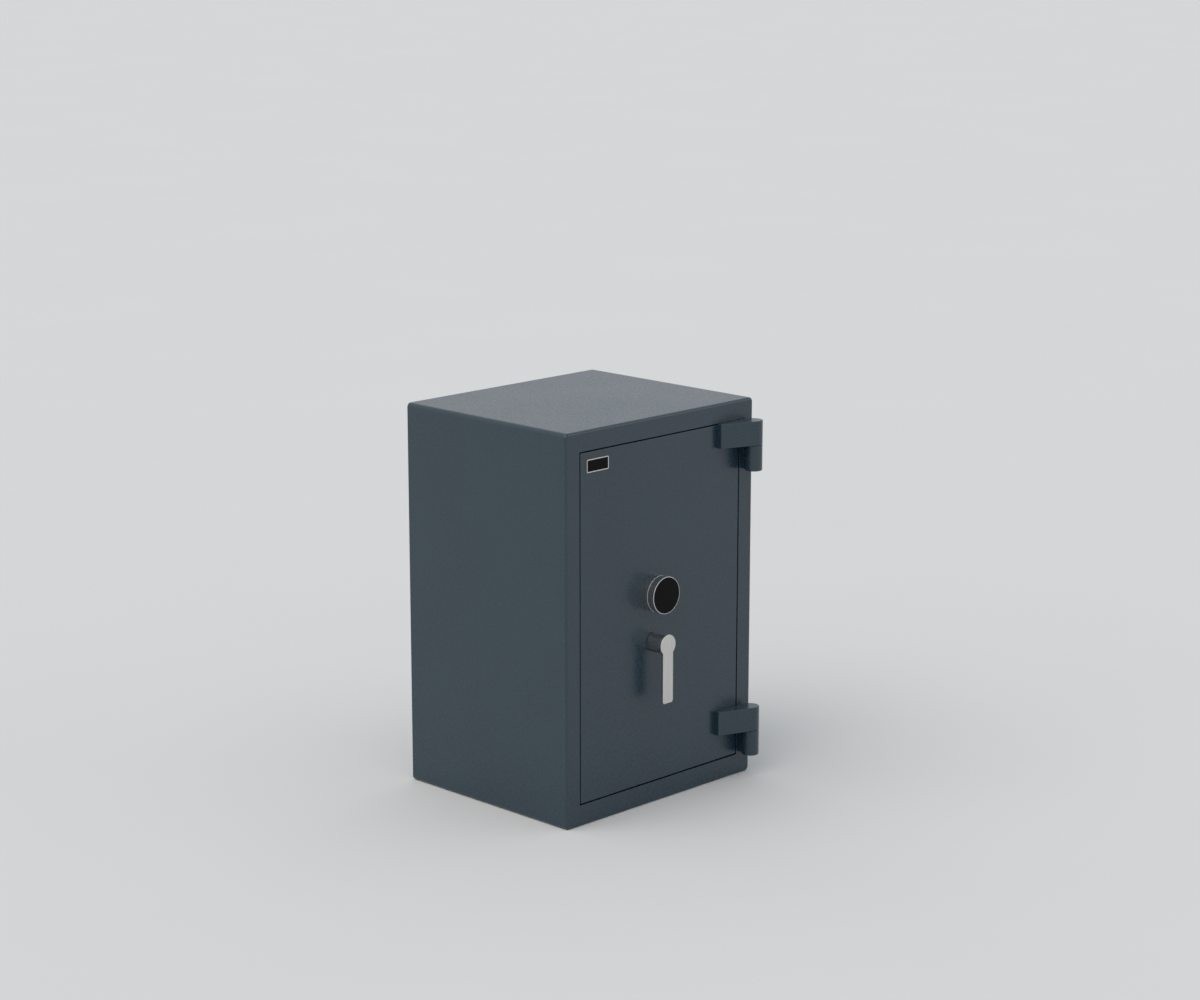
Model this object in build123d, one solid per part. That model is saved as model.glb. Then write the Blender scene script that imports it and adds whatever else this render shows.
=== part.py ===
from build123d import *
import math
import os

# Security safe with one flush door on two outside hinges, a lock knob and a lever handle.
# Millimetres. X runs along the front to the hinge side, Y into the depth, Z up.
# The origin is the centre of the resting face under the base.
# The door is closed and its bolts are drawn in, with the handle hanging down.

# Body
body_width = 540.0
body_depth = 455.0
body_height = 800.0
casing_sheet = 3.0
casing_bend = 9.0
back_sheet = 3.0
face_sheet = 6.0
face_edge_round = 5.0
liner_sheet = 1.5
back_wall = 50.0

# Front frame and its stepped opening
margin_left = 37.5
margin_right = 40.0
margin_top = 40.5
margin_bottom = 43.5
door_seam = 3.0
opening_corner = 1.5
frame_sheet = 4.0
stop_width = 17.0
frame_depth = 95.0
seal_thickness = 3.5
seal_width = 9.0
seal_gap = 0.5
seal_inset = 4.0

# Door
plate_thickness = 10.0
plate_edge_round = 1.2
barrier_thickness = 30.0
mounting_sheet = 3.0
boltwork_space = 33.0
box_sheet = 3.0
box_flange = 14.0
cover_sheet = 2.0
cover_inset = 1.5
box_gap_lock_side = 14.0
box_gap_hinge_side = 6.0
box_gap_ends = 5.0
cover_screw_inset = 8.5
cover_screw_radius = 2.0
cover_screw_head_radius = 4.0
cover_screw_head_height = 2.0
cover_screw_rows = 4
cover_screw_columns = 3

# Bolts and the bars that carry them
bolt_radius = 11.0
bolt_chamfer = 2.0
bolt_length = 45.0
bolt_travel = 28.0
bolt_tip_out = 1.0
bolt_hole_gap = 0.3
bolt_axis_depth = 60.0
side_bolt_count = 3
side_bolt_spacing = 220.0
bolt_screw_radius = 5.0
bolt_screw_head_height = 4.0
strike_gap = 1.5
pocket_sheet = 2.0
pocket_depth = 20.0
bar_sheet = 4.0
bar_depth = 50.0
bar_flange_sheet = 5.0
bar_flange_reach = 20.0
bar_tab_depth = 70.0
side_bar_width = 55.0
side_bar_overhang = 30.0
end_bar_width = 22.0
follower_arm_half = 8.0
follower_radius = 4.0
follower_gap = 0.4

# Fixed dogs on the hinge side
dog_radius = 10.0
dog_reach = 12.0
dog_chamfer = 2.0
dog_slot_gap = 2.0
dog_slot_run = 9.0
dog_pocket_depth = 14.0

# Guide posts
post_radius = 5.0
post_collar_radius = 8.0
post_head_radius = 8.5
post_head_height = 2.8
post_gap = 0.3
post_face_gap = 0.2
side_post_inset = 15.0
side_post_spacing = 220.0
end_post_from_bolt = 75.0

# Handle and its scroll cam
control_from_door_edge = 206.0
handle_below_middle = 61.5
handle_turn = 90.0
neck_radius = 20.0
neck_length = 36.4
neck_running_gap = 0.4
neck_chamfer = 0.6
lever_thickness = 4.8
lever_head_radius = 21.5
lever_width = 29.0
lever_reach = 120.8
lever_end_round = 5.0
lever_edge_round = 0.9
spindle_radius = 8.0
spindle_square = 11.0
spindle_thread_radius = 5.0
spindle_socket = 25.0
running_gap = 0.05
bush_wall = 4.0
cam_depth = 56.0
cam_sheet = 5.0
cam_radius = 60.0
scroll_start = 20.0
scroll_points = 5
follower_angles = (90.0, 180.0, 270.0)
nut_across_flats = 17.0
nut_height = 8.0
socket_gap = 0.02

# Lock knob, lock case and lock bolt
knob_above_middle = 40.5
knob_radius = 38.2
knob_base_length = 19.6
knob_sleeve_length = 16.2
knob_groove = 0.5
knob_groove_chamfer = 0.5
knob_rim = 1.3
knob_rim_chamfer = 0.5
knob_wall_thickness = 3.0
knob_face_depth = 2.0
knob_face_drop = 0.3
knob_boss_radius = 10.0
lock_spindle_radius = 4.0
lock_spindle_hole_gap = 1.0
lock_spindle_end_depth = 62.0
lock_case_left = 65.0
lock_case_right = 25.0
lock_case_below = 25.0
lock_case_above = 45.0
lock_case_thickness = 30.0
lock_case_round = 3.0
lock_bolt_offset = 30.0
lock_bolt_width = 12.0
lock_bolt_thickness = 8.0
lock_bolt_depth = 48.0
lock_bolt_length = 34.0
lock_bolt_travel = 12.0
lock_bolt_gap = 0.2
lock_screw_radius = 3.5
lock_screw_inset = 8.0
lock_screw_head = 2.5
block_lug_width = 14.0
block_lug_gap = 1.0
block_lug_overlap = 7.0
block_arm_height = 14.0
block_lug_height = 10.0

# Hinges
hinge_axis_from_side = 23.8
hinge_axis_ahead = 24.4
barrel_radius = 18.0
barrel_edge_round = 1.0
hinge_height = 104.5
hinge_split = 53.5
upper_hinge_drop = 0.3
lower_hinge_rise = 4.1
hinge_washer = 1.0
hinge_washer_wall = 5.0
hinge_pin_radius = 8.0
hinge_pin_gap = 0.05
hinge_pin_cap = 8.0
strap_reach = 85.2
strap_thin = 12.3
strap_edge_round = 1.5
strap_door_inset = 2.0
strap_frame_gap = 1.5
foot_width = 16.0

# Badge
badge_from_left = 16.0
badge_from_top = 14.8
badge_width = 60.5
badge_height = 26.2
badge_corner = 3.0
badge_frame_width = 1.8
badge_frame_thickness = 1.4
badge_plate_thickness = 0.9

# Inside fittings
strip_width = 20.0
strip_stand = 8.0
strip_sheet = 1.5
strip_end_gap = 20.0
strip_slot_width = 10.0
strip_slot_height = 4.0
strip_slot_pitch = 25.0
strip_front_inset = 45.0
strip_rear_inset = 55.0
shelf_sheet = 1.5
shelf_fold = 25.0
shelf_side_gap = 1.0
shelf_front_inset = 17.0
shelf_rear_gap = 8.0
lower_shelf_slot = 8
upper_shelf_slot = 17
clip_sheet = 2.0
clip_tongue = 16.0
clip_leg = 14.0
clip_hook = 5.0
clip_width = 9.0

# Anchoring through the base
anchor_radius = 7.0
anchor_wall = 2.0
anchor_spacing = 240.0
anchor_depth = 240.0

# Places worked out from the sizes above
front_y = -body_depth / 2
side_x = body_width / 2
opening_left = -side_x + margin_left
opening_right = side_x - margin_right
opening_top = body_height - margin_top
opening_bottom = margin_bottom
inner_left = opening_left + stop_width
inner_right = opening_right - stop_width
inner_top = opening_top - stop_width
inner_bottom = opening_bottom + stop_width
rebate_depth = plate_thickness + seal_gap + seal_thickness
liner_back_depth = body_depth - back_wall
strip_front_depth = frame_depth + strip_front_inset
strip_rear_depth = liner_back_depth - strip_rear_inset
box_left = inner_left + box_gap_lock_side
box_right = inner_right - box_gap_hinge_side
box_top = inner_top - box_gap_ends
box_bottom = inner_bottom + box_gap_ends
mounting_depth = plate_thickness + barrier_thickness
boltwork_depth = mounting_depth + mounting_sheet
box_end_depth = boltwork_depth + boltwork_space
door_middle_z = (opening_top + opening_bottom) / 2
control_x = opening_left + door_seam + control_from_door_edge
handle_z = door_middle_z - handle_below_middle
knob_z = door_middle_z + knob_above_middle
upper_hinge_bottom = opening_top - upper_hinge_drop - hinge_height
lower_hinge_bottom = opening_bottom + lower_hinge_rise
side_bolt_heights = [
    door_middle_z + side_bolt_spacing * (i - (side_bolt_count - 1) / 2) for i in range(side_bolt_count)
]
side_post_heights = [door_middle_z - side_post_spacing / 2, door_middle_z + side_post_spacing / 2]
top_bolt_x = control_x + follower_arm_half + lock_case_right + end_bar_width
bottom_bolt_x = control_x
hinge_x = side_x - hinge_axis_from_side
hinge_y = front_y - hinge_axis_ahead
scroll_rate = bolt_travel / math.radians(handle_turn)


def depth(value):
    """Y of a plane that lies this far behind the front face."""
    return front_y + value


def front_plane(value):
    """Sketch plane seen from the front: local x is X, local y is Z."""
    return Plane(origin=(0, depth(value), 0), x_dir=(1, 0, 0), z_dir=(0, -1, 0))


def rect(left, right, bottom, top, corner=0.0):
    """Rectangle given by its edges, with round corners where asked."""
    width, height = right - left, top - bottom
    shape = RectangleRounded(width, height, corner) if corner else Rectangle(width, height)
    return Pos((left + right) / 2, (bottom + top) / 2) * shape


def slab(shape, near, far):
    """Front-view shape made solid between two depths."""
    return extrude(front_plane(near) * shape, amount=-(far - near))


def block(left, right, near, far, bottom, top):
    return slab(rect(left, right, bottom, top), near, far)


def rod_y(x, z, radius, near, far):
    return slab(Pos(x, z) * Circle(radius), near, far)


def rod_x(near_x, far_x, at_depth, z, radius):
    middle = (near_x + far_x) / 2
    return Pos(middle, depth(at_depth), z) * Rot(0, 90, 0) * Cylinder(radius, abs(far_x - near_x))


def rod_z(x, at_depth, bottom, top, radius):
    return Pos(x, depth(at_depth), (bottom + top) / 2) * Cylinder(radius, top - bottom)


def bolt_pin(tip, direction, radius, length, chamfer_size):
    """Round bolt with a chamfered tip that points along the direction."""
    pin = Cylinder(radius, length, align=(Align.CENTER, Align.CENTER, Align.MAX))
    pin = chamfer(pin.edges().group_by(Axis.Z)[-1], chamfer_size)
    return Plane(origin=tip, z_dir=direction) * pin


def opening_shape(grow=0.0, corner=0.0):
    return rect(opening_left - grow, opening_right + grow, opening_bottom - grow, opening_top + grow, corner)


def inner_shape(grow=0.0):
    return rect(inner_left - grow, inner_right + grow, inner_bottom - grow, inner_top + grow)


def body_shape(inset=0.0):
    return rect(-side_x + inset, side_x - inset, inset, body_height - inset, casing_bend - inset)


# Body

def make_outer_casing():
    casing = slab(body_shape() - body_shape(casing_sheet), face_sheet, body_depth)
    for x in anchor_places():
        casing -= rod_z(x, anchor_depth, 0, casing_sheet, anchor_radius + anchor_wall)
    return casing


def make_back_panel():
    return slab(body_shape(casing_sheet), body_depth - back_sheet, body_depth)


def side_strike_cuts():
    outer = inner_left - frame_sheet
    for z in side_bolt_heights:
        yield rod_x(outer, inner_left, bolt_axis_depth, z, bolt_radius + strike_gap)


def end_strike_cuts():
    radius = bolt_radius + strike_gap
    yield rod_z(top_bolt_x, bolt_axis_depth, inner_top, inner_top + frame_sheet, radius)
    yield rod_z(bottom_bolt_x, bolt_axis_depth, inner_bottom - frame_sheet, inner_bottom, radius)


def dog_slot(grow, near_x, far_x, z):
    """Slot along the depth, longer towards the front, where the dog swings out."""
    half = dog_radius + dog_slot_gap + grow
    front = bolt_axis_depth - dog_radius - dog_slot_gap - dog_slot_run - grow
    rear = bolt_axis_depth + half
    middle = (near_x, depth((front + rear) / 2), z)
    across = Plane(origin=middle, x_dir=(0, 1, 0), z_dir=(1, 0, 0))
    return extrude(across * SlotOverall(rear - front, 2 * half), amount=far_x - near_x)


def make_front_frame():
    face = slab(body_shape(), 0, face_sheet)
    outline = face.faces().sort_by(Axis.Y)[0].outer_wire().edges()
    face = fillet(outline, face_edge_round)
    face -= slab(opening_shape(0, opening_corner), 0, face_sheet)
    jamb = slab(opening_shape(frame_sheet) - opening_shape(), face_sheet, rebate_depth + frame_sheet)
    stop = slab(opening_shape() - inner_shape(), rebate_depth, rebate_depth + frame_sheet)
    lining = slab(inner_shape(frame_sheet) - inner_shape(), rebate_depth + frame_sheet, frame_depth)
    frame = face + jamb + stop + lining
    for cut in side_strike_cuts():
        frame -= cut
    for cut in end_strike_cuts():
        frame -= cut
    for z in side_bolt_heights:
        frame -= dog_slot(0, inner_right, inner_right + frame_sheet, z)
    return frame


def make_bolt_pockets():
    """Closed cups behind the frame that the bolts run into."""
    inner = bolt_radius + strike_gap
    outer = inner + pocket_sheet
    pockets = []
    mouth = inner_left - frame_sheet
    for z in side_bolt_heights:
        cup = rod_x(mouth - pocket_depth - pocket_sheet, mouth, bolt_axis_depth, z, outer)
        pockets.append(cup - rod_x(mouth - pocket_depth, mouth, bolt_axis_depth, z, inner))
    mouth = inner_top + frame_sheet
    end_depth = pocket_depth + box_gap_lock_side - box_gap_ends
    cup = rod_z(top_bolt_x, bolt_axis_depth, mouth, mouth + end_depth + pocket_sheet, outer)
    pockets.append(cup - rod_z(top_bolt_x, bolt_axis_depth, mouth, mouth + end_depth, inner))
    mouth = inner_bottom - frame_sheet
    cup = rod_z(bottom_bolt_x, bolt_axis_depth, mouth - end_depth - pocket_sheet, mouth, outer)
    pockets.append(cup - rod_z(bottom_bolt_x, bolt_axis_depth, mouth - end_depth, mouth, inner))
    return Compound(pockets)


def make_dog_pockets():
    mouth = inner_right + frame_sheet
    end = mouth + dog_pocket_depth
    cups = []
    for z in side_bolt_heights:
        outside = dog_slot(pocket_sheet, mouth, end + pocket_sheet, z)
        cups.append(outside - dog_slot(0, mouth, end, z))
    return Compound(cups)


def anchor_places():
    return [-anchor_spacing / 2, anchor_spacing / 2]


def make_anchor_sleeves():
    outer = anchor_radius + anchor_wall
    sleeves = []
    for x in anchor_places():
        tube = rod_z(x, anchor_depth, 0, inner_bottom, outer)
        sleeves.append(tube - rod_z(x, anchor_depth, 0, inner_bottom, anchor_radius))
    return Compound(sleeves)


def make_inner_liner():
    outside = slab(inner_shape(liner_sheet), frame_depth, liner_back_depth + liner_sheet)
    liner = outside - slab(inner_shape(), frame_depth, liner_back_depth)
    for x in anchor_places():
        liner -= rod_z(x, anchor_depth, inner_bottom - liner_sheet, inner_bottom, anchor_radius + anchor_wall)
    return liner


def make_body_infill():
    """Cast filling between the casing and the liner."""
    filling = slab(body_shape(casing_sheet), face_sheet, body_depth - back_sheet)
    filling -= slab(opening_shape(frame_sheet), face_sheet, rebate_depth + frame_sheet)
    filling -= slab(inner_shape(frame_sheet), rebate_depth, frame_depth)
    filling -= slab(inner_shape(liner_sheet), frame_depth, liner_back_depth + liner_sheet)
    cup = bolt_radius + strike_gap + pocket_sheet
    mouth = inner_left - frame_sheet
    for z in side_bolt_heights:
        filling -= rod_x(mouth - pocket_depth - pocket_sheet, mouth, bolt_axis_depth, z, cup)
        far_x = inner_right + frame_sheet + dog_pocket_depth + pocket_sheet
        filling -= dog_slot(pocket_sheet, inner_right + frame_sheet, far_x, z)
    end_depth = pocket_depth + box_gap_lock_side - box_gap_ends + pocket_sheet
    mouth = inner_top + frame_sheet
    filling -= rod_z(top_bolt_x, bolt_axis_depth, mouth, mouth + end_depth, cup)
    mouth = inner_bottom - frame_sheet
    filling -= rod_z(bottom_bolt_x, bolt_axis_depth, mouth - end_depth, mouth, cup)
    for x in anchor_places():
        filling -= rod_z(x, anchor_depth, 0, inner_bottom, anchor_radius + anchor_wall)
    return filling


def make_door_seal():
    outer = opening_shape(-seal_inset)
    inner = opening_shape(-seal_inset - seal_width)
    return slab(outer - inner, rebate_depth - seal_thickness, rebate_depth)


# Inside fittings

def strip_base():
    return inner_bottom + strip_end_gap


def strip_slot_count():
    length = inner_top - inner_bottom - 2 * strip_end_gap
    return int(length / strip_slot_pitch)


def make_shelf_strip(side, at_depth):
    """Slotted channel on the liner; side is -1 for the left wall and 1 for the right."""
    wall = inner_left if side < 0 else inner_right
    bottom, top = strip_base(), inner_top - strip_end_gap
    face = wall - side * strip_stand
    low, high = min(wall, face), max(wall, face)
    channel = block(low, high, at_depth - strip_width / 2, at_depth + strip_width / 2, bottom, top)
    inside = face + side * strip_sheet
    low, high = min(wall, inside), max(wall, inside)
    half = strip_width / 2 - strip_sheet
    channel -= block(low, high, at_depth - half, at_depth + half, bottom, top)
    low, high = min(face, inside), max(face, inside)
    half = strip_slot_width / 2
    for i in range(strip_slot_count()):
        z = strip_base() + strip_slot_pitch * (i + 1 / 2)
        slot_half = strip_slot_height / 2
        channel -= block(low, high, at_depth - half, at_depth + half, z - slot_half, z + slot_half)
    return channel


def shelf_underside(slot):
    return strip_base() + strip_slot_pitch * (slot + 1 / 2) + strip_slot_height / 2


def make_shelf_clips(slot):
    """Four clips hooked through the slots, with a tongue under the shelf."""
    clips = []
    top = shelf_underside(slot)
    for side, wall in ((-1, inner_left), (1, inner_right)):
        face = wall - side * strip_stand
        for at_depth in (strip_front_depth, strip_rear_depth):
            near, far = at_depth - clip_width / 2, at_depth + clip_width / 2
            hook_x = face + side * (strip_sheet + clip_sheet)
            tongue_x = face - side * clip_tongue
            bar = block(min(hook_x, tongue_x), max(hook_x, tongue_x), near, far, top - clip_sheet, top)
            leg_x = face - side * clip_sheet
            leg = block(min(face, leg_x), max(face, leg_x), near, far, top - clip_leg, top)
            inner_x = face + side * strip_sheet
            hook = block(min(inner_x, hook_x), max(inner_x, hook_x), near, far, top - clip_hook, top)
            clips.append(bar + leg + hook)
    return Compound(clips)


def make_shelf(slot):
    """Sheet tray with its front and rear edges folded down."""
    left = inner_left + strip_stand + shelf_side_gap
    right = inner_right - strip_stand - shelf_side_gap
    near, far = frame_depth + shelf_front_inset, liner_back_depth - shelf_rear_gap
    under = shelf_underside(slot)
    top = under + shelf_sheet
    tray = block(left, right, near, far, top - shelf_fold, top)
    tray -= block(left, right, near + shelf_sheet, far - shelf_sheet, top - shelf_fold, under)
    upper = tray.faces().sort_by(Axis.Z)[-1]
    return fillet(upper.edges().filter_by(Axis.X), shelf_sheet)


# Hinges

def hinge_profile():
    """Plan of the strap: a thin end on the door that thickens into the barrel."""
    near_x = hinge_x - strap_reach
    far_x = opening_right - door_seam - strap_door_inset
    offset_x, offset_y = near_x - hinge_x, front_y - strap_thin - hinge_y
    reach = math.hypot(offset_x, offset_y)
    turn = math.acos(barrel_radius / reach)
    angle = math.atan2(offset_y, offset_x) + turn
    touch = (hinge_x + barrel_radius * math.cos(angle), hinge_y + barrel_radius * math.sin(angle))
    relief = front_y - strap_frame_gap
    outline = make_face(Polyline(
        (near_x, front_y), (near_x, front_y - strap_thin), touch,
        (hinge_x, hinge_y), (hinge_x, hinge_y + barrel_radius), (far_x + strap_door_inset, relief),
        (far_x, front_y), close=True,
    ))
    return outline + Pos(hinge_x, hinge_y) * Circle(barrel_radius)


def make_hinge_strap(bottom):
    split = bottom + hinge_split + hinge_washer
    top = bottom + hinge_height
    strap = Pos(0, 0, split) * extrude(hinge_profile(), amount=top - split)
    thin_end = strap.faces().sort_by(Axis.X)[0]
    strap = fillet(thin_end.edges().filter_by(Axis.Z).sort_by(Axis.Y)[0], strap_edge_round)
    strap = chamfer(strap.faces().sort_by(Axis.Z)[-1].outer_wire().edges(), barrel_edge_round)
    bore_top = top - hinge_pin_cap
    bore = Cylinder(hinge_pin_radius + hinge_pin_gap, bore_top - split)
    return strap - Pos(hinge_x, hinge_y, (split + bore_top) / 2) * bore


def make_hinge_knuckle(bottom):
    """Lower barrel with the foot that is welded to the frame's face."""
    top = bottom + hinge_split
    barrel = Cylinder(barrel_radius, top - bottom)
    barrel = chamfer(barrel.edges().filter_by(GeomType.CIRCLE), barrel_edge_round)
    knuckle = Pos(hinge_x, hinge_y, (bottom + top) / 2) * barrel
    foot_end = front_y
    foot = Box(foot_width, foot_end - hinge_y, top - bottom - 2 * barrel_edge_round)
    knuckle += Pos(hinge_x, (hinge_y + foot_end) / 2, (bottom + top) / 2) * foot
    socket = Cylinder(hinge_pin_radius + socket_gap, top - bottom - hinge_pin_cap)
    return knuckle - Pos(hinge_x, hinge_y, (bottom + hinge_pin_cap + top) / 2) * socket


def make_hinge_pin(bottom):
    low, high = bottom + hinge_pin_cap, bottom + hinge_height - hinge_pin_cap - running_gap
    pin = Cylinder(hinge_pin_radius, high - low)
    pin = chamfer(pin.edges().filter_by(GeomType.CIRCLE), barrel_edge_round)
    return Pos(hinge_x, hinge_y, (low + high) / 2) * pin


def make_hinge_washer(bottom):
    low = bottom + hinge_split
    ring = Cylinder(hinge_pin_radius + hinge_washer_wall, hinge_washer)
    ring -= Cylinder(hinge_pin_radius + hinge_pin_gap, hinge_washer)
    return Pos(hinge_x, hinge_y, low + hinge_washer / 2) * ring


# Door

def make_door_plate():
    plate = slab(opening_shape(-door_seam, opening_corner), 0, plate_thickness)
    plate = fillet(plate.faces().sort_by(Axis.Y)[0].outer_wire().edges(), plate_edge_round)
    plate -= rod_y(control_x, handle_z, spindle_radius + running_gap + bush_wall, 0, plate_thickness)
    plate -= rod_y(control_x, knob_z, lock_spindle_radius + lock_spindle_hole_gap, 0, plate_thickness)
    return plate


def door_sheet(near, far):
    """Slab that fills the door box, with the two spindle holes."""
    shape = rect(box_left + box_sheet, box_right - box_sheet, box_bottom + box_sheet, box_top - box_sheet)
    sheet = slab(shape, near, far)
    sheet -= rod_y(control_x, handle_z, spindle_radius + running_gap + bush_wall, near, far)
    return sheet - rod_y(control_x, knob_z, lock_spindle_radius + lock_spindle_hole_gap, near, far)


def make_door_box():
    """Folded wall round the boltwork, with a flange for the inner cover."""
    outer = rect(box_left, box_right, box_bottom, box_top)
    inner = rect(box_left + box_sheet, box_right - box_sheet, box_bottom + box_sheet, box_top - box_sheet)
    hole = rect(box_left + box_flange, box_right - box_flange, box_bottom + box_flange, box_top - box_flange)
    walls = slab(outer - inner, plate_thickness, box_end_depth)
    walls += slab(inner - hole, box_end_depth - box_sheet, box_end_depth)
    radius = bolt_radius + bolt_hole_gap
    for z in side_bolt_heights:
        walls -= rod_x(box_left, box_left + box_sheet, bolt_axis_depth, z, radius)
        walls -= rod_x(box_right - box_sheet, box_right, bolt_axis_depth, z, dog_radius)
    walls -= rod_z(top_bolt_x, bolt_axis_depth, box_top - box_sheet, box_top, radius)
    walls -= rod_z(bottom_bolt_x, bolt_axis_depth, box_bottom, box_bottom + box_sheet, radius)
    for x, z in cover_screw_places():
        walls -= rod_y(x, z, cover_screw_radius, box_end_depth - box_sheet, box_end_depth)
    return walls


def cover_screw_places():
    left, right = box_left + cover_screw_inset, box_right - cover_screw_inset
    bottom, top = box_bottom + cover_screw_inset, box_top - cover_screw_inset
    places = []
    for i in range(cover_screw_rows):
        z = bottom + (top - bottom) * i / (cover_screw_rows - 1)
        places += [(left, z), (right, z)]
    for i in range(1, cover_screw_columns - 1):
        x = left + (right - left) * i / (cover_screw_columns - 1)
        places += [(x, bottom), (x, top)]
    return places


def make_door_cover():
    shape = rect(box_left + cover_inset, box_right - cover_inset, box_bottom + cover_inset,
                 box_top - cover_inset, opening_corner)
    cover = slab(shape, box_end_depth, box_end_depth + cover_sheet)
    for x, z in cover_screw_places():
        cover -= rod_y(x, z, cover_screw_radius, box_end_depth, box_end_depth + cover_sheet)
    return cover


def make_cover_screws():
    outside = box_end_depth + cover_sheet
    screws = []
    for x, z in cover_screw_places():
        head = rod_y(x, z, cover_screw_head_radius, outside, outside + cover_screw_head_height)
        screws.append(head + rod_y(x, z, cover_screw_radius, box_end_depth - box_sheet, outside))
    return Compound(screws)


def make_hinge_side_dogs():
    length = dog_reach + box_gap_hinge_side + box_sheet
    tip_x = box_right + dog_reach + box_gap_hinge_side
    return Compound([
        bolt_pin((tip_x, depth(bolt_axis_depth), z), (1, 0, 0), dog_radius, length, dog_chamfer)
        for z in side_bolt_heights
    ])


def badge_shape(inset):
    left = opening_left + door_seam + badge_from_left
    top = opening_top - door_seam - badge_from_top
    return rect(left + inset, left + badge_width - inset, top - badge_height + inset, top - inset,
                badge_corner - inset)


def make_badge_frame():
    return slab(badge_shape(0) - badge_shape(badge_frame_width), -badge_frame_thickness, 0)


def make_badge_plate():
    return slab(badge_shape(badge_frame_width), -badge_plate_thickness, 0)


# Boltwork

def make_side_bolt_bar():
    """Angle bar with the bolts on its upright flange and two arms towards the handle."""
    left = box_left - bolt_tip_out + bolt_length
    bottom = side_bolt_heights[0] - side_bar_overhang
    top = side_bolt_heights[-1] + side_bar_overhang
    near, far = bar_depth, bar_depth + bar_sheet
    bar = block(left, left + side_bar_width, near, far, bottom, top)
    bar += block(left, left + bar_flange_sheet, near, far + bar_flange_reach, bottom, top)
    follower_x = control_x - scroll_start
    arm = rect(left, follower_x, handle_z - follower_arm_half, handle_z + follower_arm_half)
    arm += Pos(follower_x, handle_z) * Circle(follower_arm_half)
    lug_right = control_x - lock_bolt_offset - lock_bolt_width / 2 - block_lug_gap + bolt_travel
    lug_top = knob_z - lock_case_below - lock_bolt_travel + block_lug_overlap
    arm_top = lug_top - block_lug_height
    arm += rect(left, lug_right, arm_top - block_arm_height, arm_top)
    arm += rect(lug_right - block_lug_width, lug_right, arm_top, lug_top)
    bar += slab(arm, near, far)
    for z in side_post_heights:
        bar -= slab(post_slot(left + side_post_inset, z, True), near, far)
    return bar


def post_slot(x, z, level):
    """Slot round a guide post, as long as the bolts' travel."""
    half = post_radius + post_gap
    slot = SlotCenterToCenter(bolt_travel, 2 * half)
    if level:
        return Pos(x + bolt_travel / 2, z) * slot
    return Pos(x, z) * Rot(0, 0, 90) * slot


def side_bar_left():
    return box_left - bolt_tip_out + bolt_length


def make_side_bolts():
    return Compound([
        bolt_pin((box_left - bolt_tip_out, depth(bolt_axis_depth), z), (-1, 0, 0),
                 bolt_radius, bolt_length, bolt_chamfer)
        for z in side_bolt_heights
    ])


def make_side_bolt_screws():
    near_x = side_bar_left() + bar_flange_sheet
    far_x = near_x + bolt_screw_head_height
    return Compound([
        rod_x(near_x, far_x, bolt_axis_depth + post_radius, z, bolt_screw_radius) for z in side_bolt_heights
    ])


def follower_pin(x, z):
    """Pin on the bar that reaches into the scroll slot."""
    return rod_y(x, z, follower_radius, bar_depth + bar_sheet, cam_depth + cam_sheet)


def top_tab_z():
    return box_top + bolt_tip_out - bolt_length


def bottom_tab_z():
    return box_bottom - bolt_tip_out + bolt_length


def make_top_bolt_bar():
    """Flat bar that steps round the lock case, with a folded tab under the bolt."""
    near, far = bar_depth, bar_depth + bar_sheet
    follower_z = handle_z + scroll_start
    foot = Pos(control_x, follower_z) * Circle(follower_arm_half)
    step_top = follower_z + 2 * follower_arm_half + post_radius
    left = control_x - follower_arm_half
    right = top_bolt_x + end_bar_width / 2
    foot += rect(left, control_x + follower_arm_half, follower_z, step_top)
    foot += rect(left, right, step_top - 2 * follower_arm_half, step_top)
    foot += rect(right - end_bar_width, right, step_top - 2 * follower_arm_half, top_tab_z())
    bar = slab(foot, near, far)
    bar += block(right - end_bar_width, right, near, bar_tab_depth,
                 top_tab_z() - bar_flange_sheet, top_tab_z())
    slot_z = top_tab_z() - end_post_from_bolt
    return bar - slab(post_slot(top_bolt_x, slot_z - bolt_travel / 2, False), near, far)


def make_bottom_bolt_bar():
    near, far = bar_depth, bar_depth + bar_sheet
    follower_z = handle_z - scroll_start
    foot = Pos(control_x, follower_z) * Circle(follower_arm_half)
    neck_z = follower_z - 2 * follower_arm_half
    half = end_bar_width / 2
    foot += rect(control_x - follower_arm_half, control_x + follower_arm_half, neck_z, follower_z)
    foot += rect(bottom_bolt_x - half, bottom_bolt_x + half, bottom_tab_z(), neck_z)
    bar = slab(foot, near, far)
    bar += block(bottom_bolt_x - half, bottom_bolt_x + half, near, bar_tab_depth,
                 bottom_tab_z(), bottom_tab_z() + bar_flange_sheet)
    slot_z = bottom_tab_z() + end_post_from_bolt
    return bar - slab(post_slot(bottom_bolt_x, slot_z + bolt_travel / 2, False), near, far)


def make_top_bolt():
    tip = (top_bolt_x, depth(bolt_axis_depth), box_top + bolt_tip_out)
    return bolt_pin(tip, (0, 0, 1), bolt_radius, bolt_length, bolt_chamfer)


def make_bottom_bolt():
    tip = (bottom_bolt_x, depth(bolt_axis_depth), box_bottom - bolt_tip_out)
    return bolt_pin(tip, (0, 0, -1), bolt_radius, bolt_length, bolt_chamfer)


def guide_post(x, z):
    """Shouldered post: collar under the bar, shank through its slot, head over it."""
    collar_end = bar_depth - post_face_gap
    head_start = bar_depth + bar_sheet + post_face_gap
    post = rod_y(x, z, post_collar_radius, boltwork_depth, collar_end)
    post += rod_y(x, z, post_radius, collar_end, head_start)
    return post + rod_y(x, z, post_head_radius, head_start, head_start + post_head_height)


def make_guide_posts():
    places = [(side_bar_left() + side_post_inset, z) for z in side_post_heights]
    places.append((top_bolt_x, top_tab_z() - end_post_from_bolt))
    places.append((bottom_bolt_x, bottom_tab_z() + end_post_from_bolt))
    return Compound([guide_post(x, z) for x, z in places])


# Handle

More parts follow.
